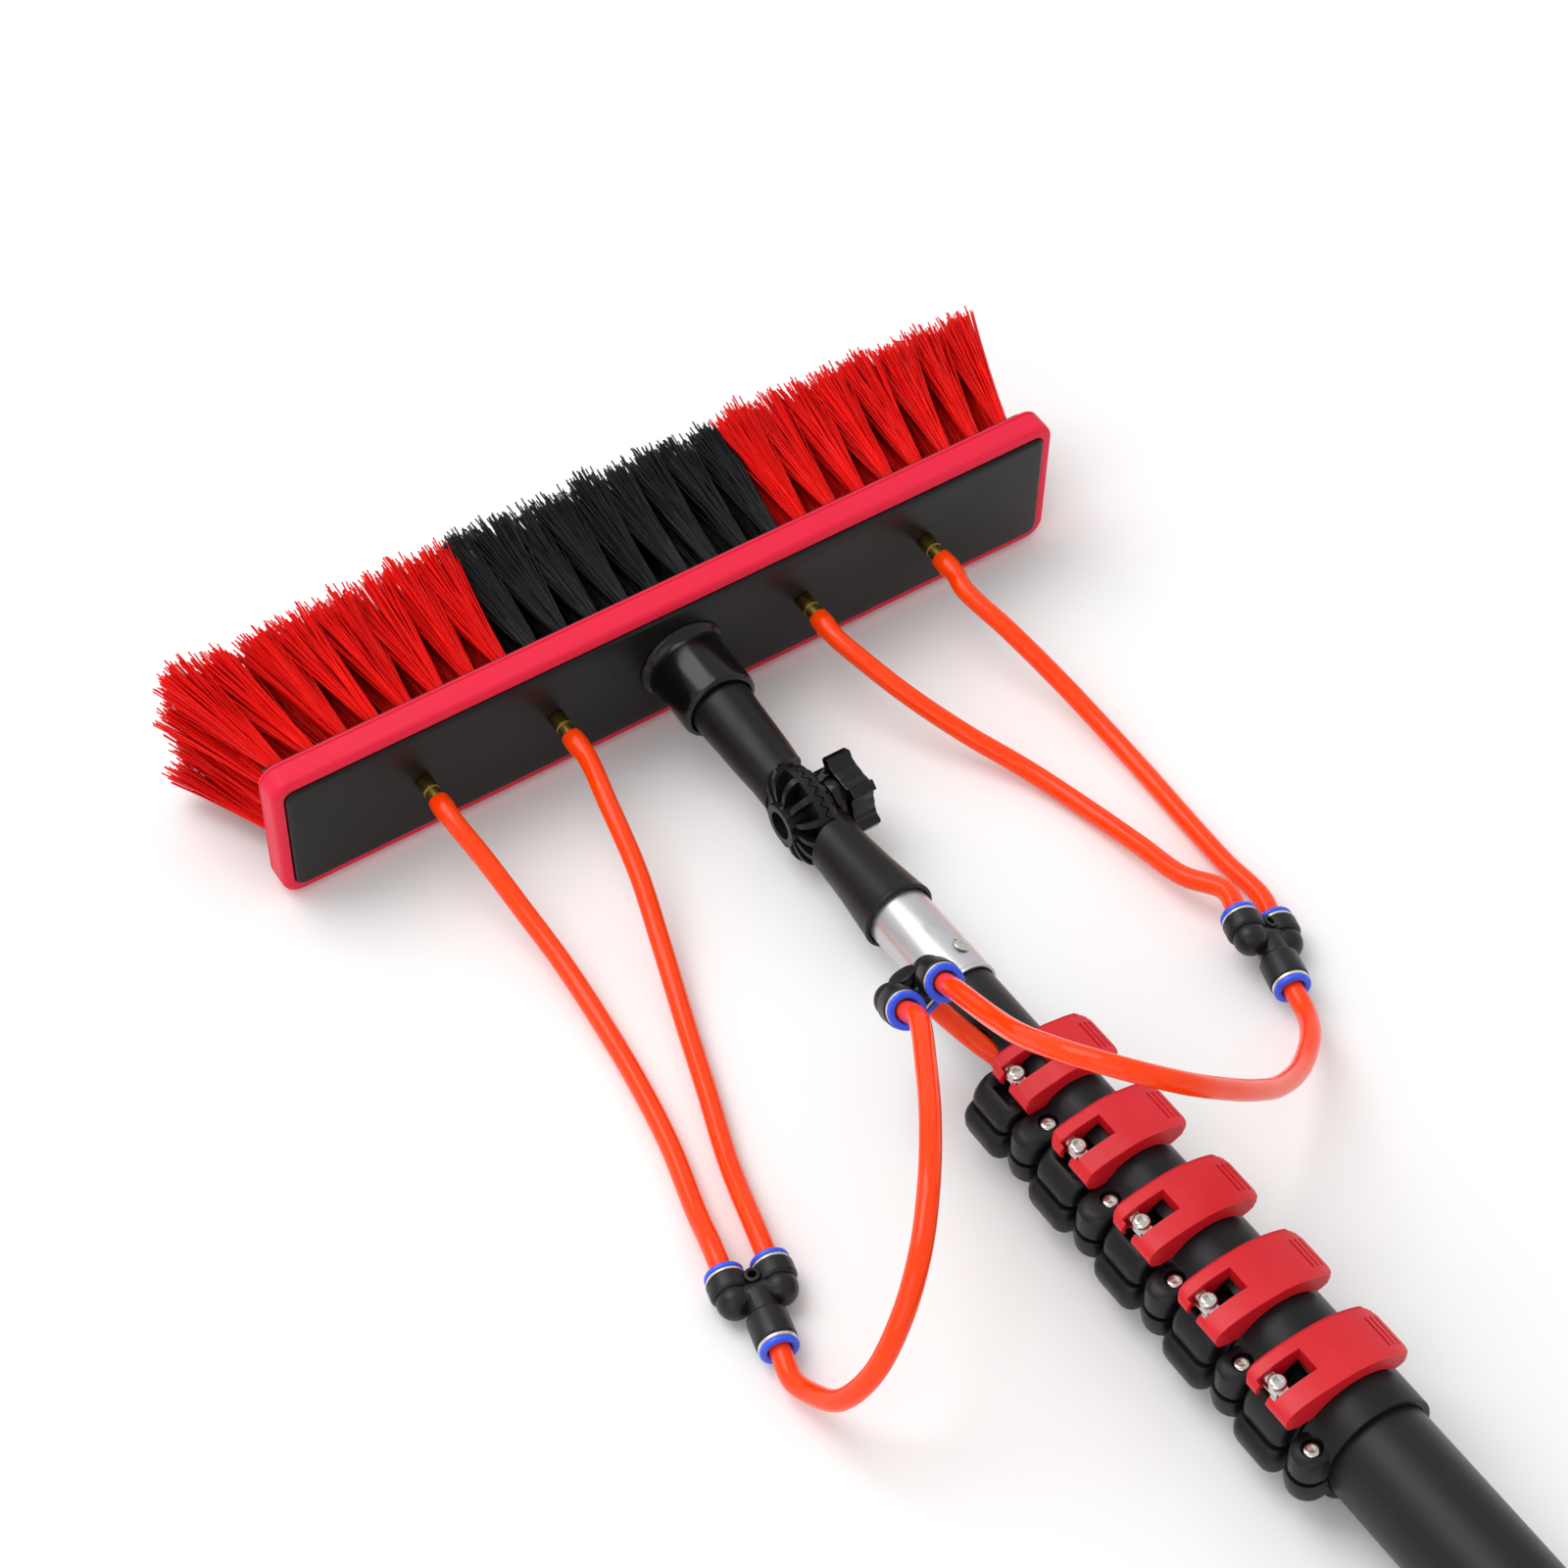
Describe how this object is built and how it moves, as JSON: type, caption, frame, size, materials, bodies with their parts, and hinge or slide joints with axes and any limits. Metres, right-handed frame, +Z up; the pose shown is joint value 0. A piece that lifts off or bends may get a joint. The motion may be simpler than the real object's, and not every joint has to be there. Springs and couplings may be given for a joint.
{
  "type": "water-fed window cleaning pole",
  "caption": "Telescopic water-fed pole with flip-lever clamps, a tilting brush head with water jets, and a red hose that feeds it and lies coiled beside the butt.",
  "frame": {"origin": "centre of the butt cap's end face, on the pole's axis", "axes": "+Y runs along the pole from the butt to the brush, +Z is up with the pole lying on the ground, +X is to the right"},
  "size_m": [0.4028, 1.6463, 0.1169],
  "materials": {
    "tube": "matt black anodised",
    "black_plastic": "fine-grained black nylon",
    "lever_red": "satin red nylon",
    "plated_steel": "bright nickel-plated steel",
    "alloy": "satin bare aluminium",
    "panel_black": "smooth black plastic",
    "bumper_red": "soft satin rubber",
    "bristle_red": "glossy nylon strands",
    "bristle_black": "glossy nylon strands",
    "jet_brass": "dull brass",
    "fitting_black": "satin black plastic with blue release collars",
    "hose_red": "glossy, slightly see-through polyurethane"
  },
  "bodies": {
    "section_1": {"section_tube_1": "tube", "butt_cap": "black_plastic", "clamp_collar_1": "black_plastic", "tension_bolt_1": "plated_steel", "fixing_screw_1": "plated_steel", "tail_hose": "hose_red", "hose_coil": "hose_red", "hose_connector": "fitting_black"},
    "section_2": {"section_tube_2": "tube", "guide_bush_2": "black_plastic", "clamp_collar_2": "black_plastic", "tension_bolt_2": "plated_steel", "fixing_screw_2": "plated_steel"},
    "section_3": {"section_tube_3": "tube", "guide_bush_3": "black_plastic", "clamp_collar_3": "black_plastic", "tension_bolt_3": "plated_steel", "fixing_screw_3": "plated_steel"},
    "section_4": {"section_tube_4": "tube", "guide_bush_4": "black_plastic", "clamp_collar_4": "black_plastic", "tension_bolt_4": "plated_steel", "fixing_screw_4": "plated_steel"},
    "section_5": {"section_tube_5": "tube", "guide_bush_5": "black_plastic", "clamp_collar_5": "black_plastic", "tension_bolt_5": "plated_steel", "fixing_screw_5": "plated_steel"},
    "section_6": {"section_tube_6": "tube", "guide_bush_6": "black_plastic", "alloy_sleeve": "alloy", "sleeve_rivet": "alloy", "adapter_socket": "black_plastic", "pivot_bolt": "plated_steel", "hose_fitting_left": "fitting_black", "hose_fitting_right": "fitting_black", "hose_fitting_centre": "fitting_black", "loop_hose_left": "hose_red", "loop_hose_right": "hose_red", "supply_hose": "hose_red", "feed_hose_1": "hose_red", "feed_hose_2": "hose_red", "feed_hose_3": "hose_red", "feed_hose_4": "hose_red"},
    "lever_1": {"clamp_lever_1": "lever_red"},
    "lever_2": {"clamp_lever_2": "lever_red"},
    "lever_3": {"clamp_lever_3": "lever_red"},
    "lever_4": {"clamp_lever_4": "lever_red"},
    "lever_5": {"clamp_lever_5": "lever_red"},
    "star_knob": {"star_knob": "black_plastic"},
    "brush_head": {"adapter_neck": "black_plastic", "brush_block": "panel_black", "block_bumper": "bumper_red", "bristles_left": "bristle_red", "bristles_middle": "bristle_black", "bristles_right": "bristle_red", "water_jet_1": "jet_brass", "water_jet_2": "jet_brass", "water_jet_3": "jet_brass", "water_jet_4": "jet_brass"}
  },
  "joints": [
    {"name": "section_2_slide", "type": "slide", "parent": "section_1", "child": "section_2", "axis": [0, 1, 0], "range_m": [0, 0.83]},
    {"name": "section_3_slide", "type": "slide", "parent": "section_2", "child": "section_3", "axis": [0, 1, 0], "range_m": [0, 0.845]},
    {"name": "section_4_slide", "type": "slide", "parent": "section_3", "child": "section_4", "axis": [0, 1, 0], "range_m": [0, 0.855]},
    {"name": "section_5_slide", "type": "slide", "parent": "section_4", "child": "section_5", "axis": [0, 1, 0], "range_m": [0, 0.87]},
    {"name": "section_6_slide", "type": "slide", "parent": "section_5", "child": "section_6", "axis": [0, 1, 0], "range_m": [0, 0.88]},
    {"name": "lever_1_hinge", "type": "hinge", "parent": "section_1", "child": "lever_1", "pos_m": [-0.0222, 1.151, 0.022], "axis": [0, -1, 0], "range_deg": [0, 95]},
    {"name": "lever_2_hinge", "type": "hinge", "parent": "section_2", "child": "lever_2", "pos_m": [-0.0205, 1.1905, 0.0203], "axis": [0, -1, 0], "range_deg": [0, 95]},
    {"name": "lever_3_hinge", "type": "hinge", "parent": "section_3", "child": "lever_3", "pos_m": [-0.0188, 1.23, 0.0186], "axis": [0, -1, 0], "range_deg": [0, 95]},
    {"name": "lever_4_hinge", "type": "hinge", "parent": "section_4", "child": "lever_4", "pos_m": [-0.0171, 1.2695, 0.0169], "axis": [0, -1, 0], "range_deg": [0, 95]},
    {"name": "lever_5_hinge", "type": "hinge", "parent": "section_5", "child": "lever_5", "pos_m": [-0.0154, 1.309, 0.0152], "axis": [0, -1, 0], "range_deg": [0, 95]},
    {"name": "brush_tilt", "type": "hinge", "parent": "section_6", "child": "brush_head", "pos_m": [0, 1.4705, 0], "axis": [1, 0, 0], "range_deg": [-90, 90], "deforming": ["feed_hose_1", "feed_hose_2", "feed_hose_3", "feed_hose_4"]},
    {"name": "star_knob_turn", "type": "hinge", "parent": "section_6", "child": "star_knob", "pos_m": [0.02, 1.4705, 0], "axis": [1, 0, 0], "continuous": true}
  ]
}
